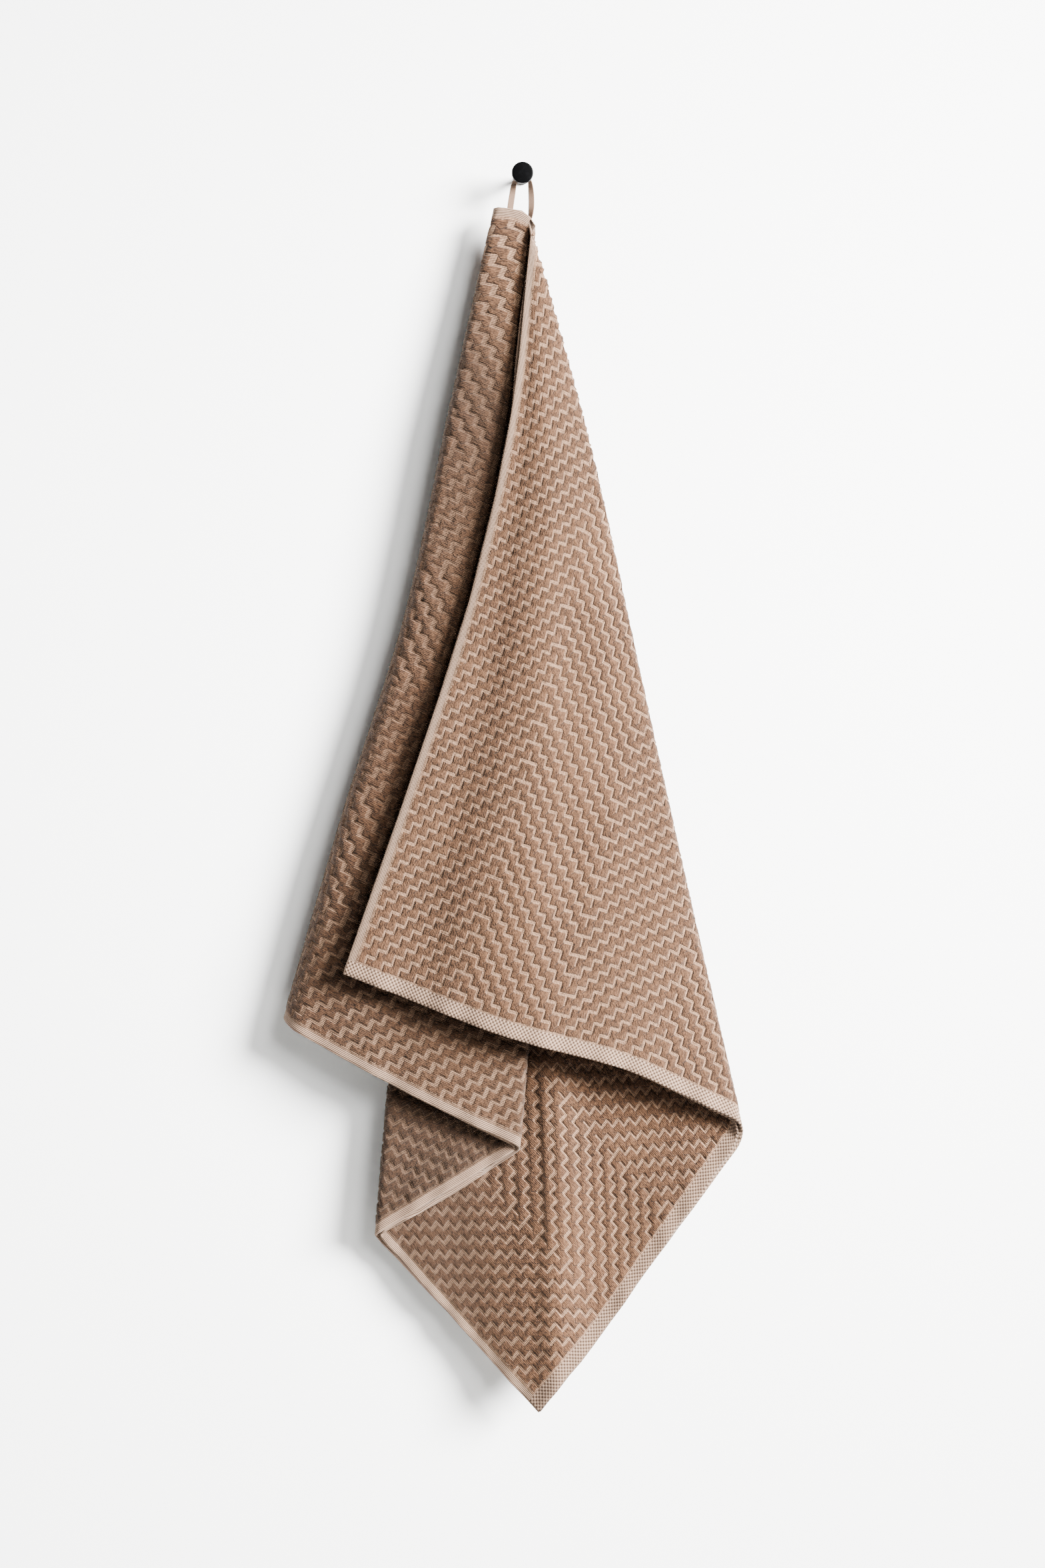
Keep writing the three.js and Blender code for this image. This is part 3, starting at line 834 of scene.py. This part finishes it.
def towel_cloth():
    """Velour and ground. In cells, u runs across and v along from the middle. A tread lies where v
    plus the stair's height is even, a riser where the same sum at a column's edge is in an even
    cell; the ground shows within half its width of either, and past it a thin gap that is darkened
    with painted shade on the side away from the light. The turned nap and the rear layer's end hem
    are darkened with painted shade too."""
    paint = Paint("velour")
    flat = paint.node("ShaderNodeUVMap", {"uv_map": "cloth"})
    length = paint.node("ShaderNodeSeparateXYZ", {}, {0: flat})
    across = length.output(1)
    along = abs(length)
    layer = length.math("SIGN")
    rear = layer.math("MAXIMUM", 0.0)
    stretched = paint.node("ShaderNodeCombineXYZ", {}, {0: across, 1: along * STREAK_STRETCH})
    fray = paint.noise(flat, FRAY_NOISE, 3.0) - 0.5
    tuft = paint.noise(flat, TUFT_NOISE, 3.0) - 0.5
    streak = paint.noise(stretched, STREAK_NOISE, 3.0) - 0.5
    clump = paint.noise(flat, CLUMP_NOISE) - 0.5
    cloud = paint.noise(flat, CLOUD_NOISE, 3.0) - 0.5
    rib = across.wave(RIB_PITCH)
    pick = along.wave(PICK_PITCH)
    eyes = along.wave(EYE_PITCH) * across.wave(EYE_PITCH)

    # the steps
    u = (across - LONG_HEM) / CELL_ACROSS
    v = along / CELL_ALONG
    over_tread, over_riser, beyond = past_steps(u, v, rear)
    riser = abs(over_riser).math("MAXIMUM", beyond) / RISER_SHARE
    distance = abs(over_tread).math("MINIMUM", riser) + fray * PILE_FRAY

    # the nap: where it is turned, wider ground, pile and ground darkened with painted shade, and
    # fainter painted shade in the gap
    narrow = (along / NARROW_FROM).math("MINIMUM", 1.0)
    turned = ((u / CELLS_ACROSS - v / CELLS_ALONG) / NAP_TURN).math("MAXIMUM", 0.0).math("MINIMUM", 1.0)
    soft = turned * narrow
    half_width = narrow * (GROUND_HALF_NARROW - GROUND_HALF_WIDE) + GROUND_HALF_WIDE + soft * GROUND_MORE
    near_middle = 1.0 - paint.soft_step(along, *NEAR_MIDDLE)
    brushed = turned * (1.0 - paint.soft_step(across, *BRUSHED_TO)) * near_middle
    lit = paint.soft_step(across, *LIT_FROM) * near_middle
    # painted shade on the turned nap's panels, which hang back from the light; less where the light from the
    # side falls
    nap_shade = turned * (narrow * NAP_SHADE_FAR + NAP_SHADE_AMOUNT - lit * NAP_SHADE_LESS_LIT)
    ground = 1.0 - paint.soft_step(distance - half_width, *PILE_EDGE)
    pile = 1.0 - ground * (1.0 - brushed * BRUSHED_OVER)
    # painted shade in the gap beside each riser and tread, on the side away from the light from the right and
    # above; the side turns over with the layer, as the two halves lie mirrored
    riser_gap_shade = gap_shade_beside(paint, over_riser * layer * -1.0 - half_width * RISER_SHARE + beyond, fray)
    tread_gap_shade = gap_shade_beside(paint, over_tread * layer - half_width, fray)
    gap_shade = riser_gap_shade.math("MAXIMUM", tread_gap_shade * TREAD_GAP_SHADE) * (1.0 - soft * GAP_SHADE_FADE_TURNED)

    # the hems, which the pile reaches with ragged ends
    from_side = across.math("MINIMUM", CLOTH_WIDTH - across)
    from_end = HALF_LENGTH - along
    ragged = fray * RAGGED
    pile = pile * paint.soft_step(from_side + ragged, *PILE_FROM_LONG_HEM)
    pile = pile * paint.soft_step(from_end + ragged, *PILE_FROM_END_HEM)
    off_end_hem = paint.soft_step(from_end, *END_HEM_EDGE)
    hem = 1.0 - paint.soft_step(from_side, *LONG_HEM_EDGE) * off_end_hem
    end_hem = 1.0 - off_end_hem
    hem_weave = end_hem * eyes * 0.8 + (1.0 - end_hem) * rib * 0.5

    # colours, from dark to light by the threads, with painted shade in the gaps, on the rear layer's
    # end hem and on the turned nap
    pile_shade = streak * 1.9 + tuft * 1.1 + clump * 0.9 + rib * 0.12 + 0.5 + cloud * 0.5
    # painted shade: the gap beside each step is darkened towards a shadow brown
    pile_colour = paint.mix(gap_shade * GAP_SHADE, paint.mix(pile_shade, PILE_DARK, PILE_LIGHT), GAP_SHADOW_BROWN)
    ground_shade = rib * 0.30 + pick * 0.10 + streak * 1.6 + 0.5
    ground_colour = paint.mix(ground_shade, GROUND_DARK, GROUND_LIGHT)
    hem_colour = paint.mix(hem_weave + tuft * 0.5 + 0.5, HEM_DARK, HEM_LIGHT)
    # painted shade: the rear layer's end hem is darkened
    hem_colour = paint.mix(end_hem * rear * REAR_HEM_SHADE, hem_colour, SHADE_BROWN)
    # painted shade: the turned nap's panels are darkened towards a shade brown
    cloth_colour = paint.mix(nap_shade, paint.mix(pile, ground_colour, pile_colour), SHADE_BROWN)
    colour = paint.mix(hem, cloth_colour, hem_colour)

    # heights in millimetres
    pile_height = tuft * 0.9 + streak * 1.1 + clump * 0.6 + rib * 0.10 + 0.6 - gap_shade * 0.4
    ground_height = rib * 0.12 + pick * 0.05
    hem_height = hem_weave * 0.25 + streak * 0.15
    height = pile * pile_height + (1.0 - pile) * ground_height
    height = height * (1.0 - hem) + hem * hem_height
    return paint.finish(colour, 0.95, height, 1.0, Sheen_Weight=0.10, Sheen_Roughness=0.5,
                        Sheen_Tint=SHEEN_TINT, Specular_IOR_Level=0.15)


points, triangles, flat, pile_count = towel_mesh()
towel = new_object("towel_cloth", points, triangles, towel_cloth(), flat)

# Hidden places, the inner side and the rim, apart from the rim's last point, are thinned first.
number = np.arange(len(points))
covered = is_hidden(flat) | (number >= pile_count) & (number < len(points) - 1)
group = towel.vertex_groups.new(name="covered")
group.add(np.flatnonzero(covered).tolist(), 1.0, "REPLACE")
thin = towel.modifiers.new("thin the covered folds", "DECIMATE")
thin.ratio = THINNED_TO
thin.vertex_group = "covered"
thin.vertex_group_factor = THIN_HIDDEN_FIRST
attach(towel, "root")
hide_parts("towel")
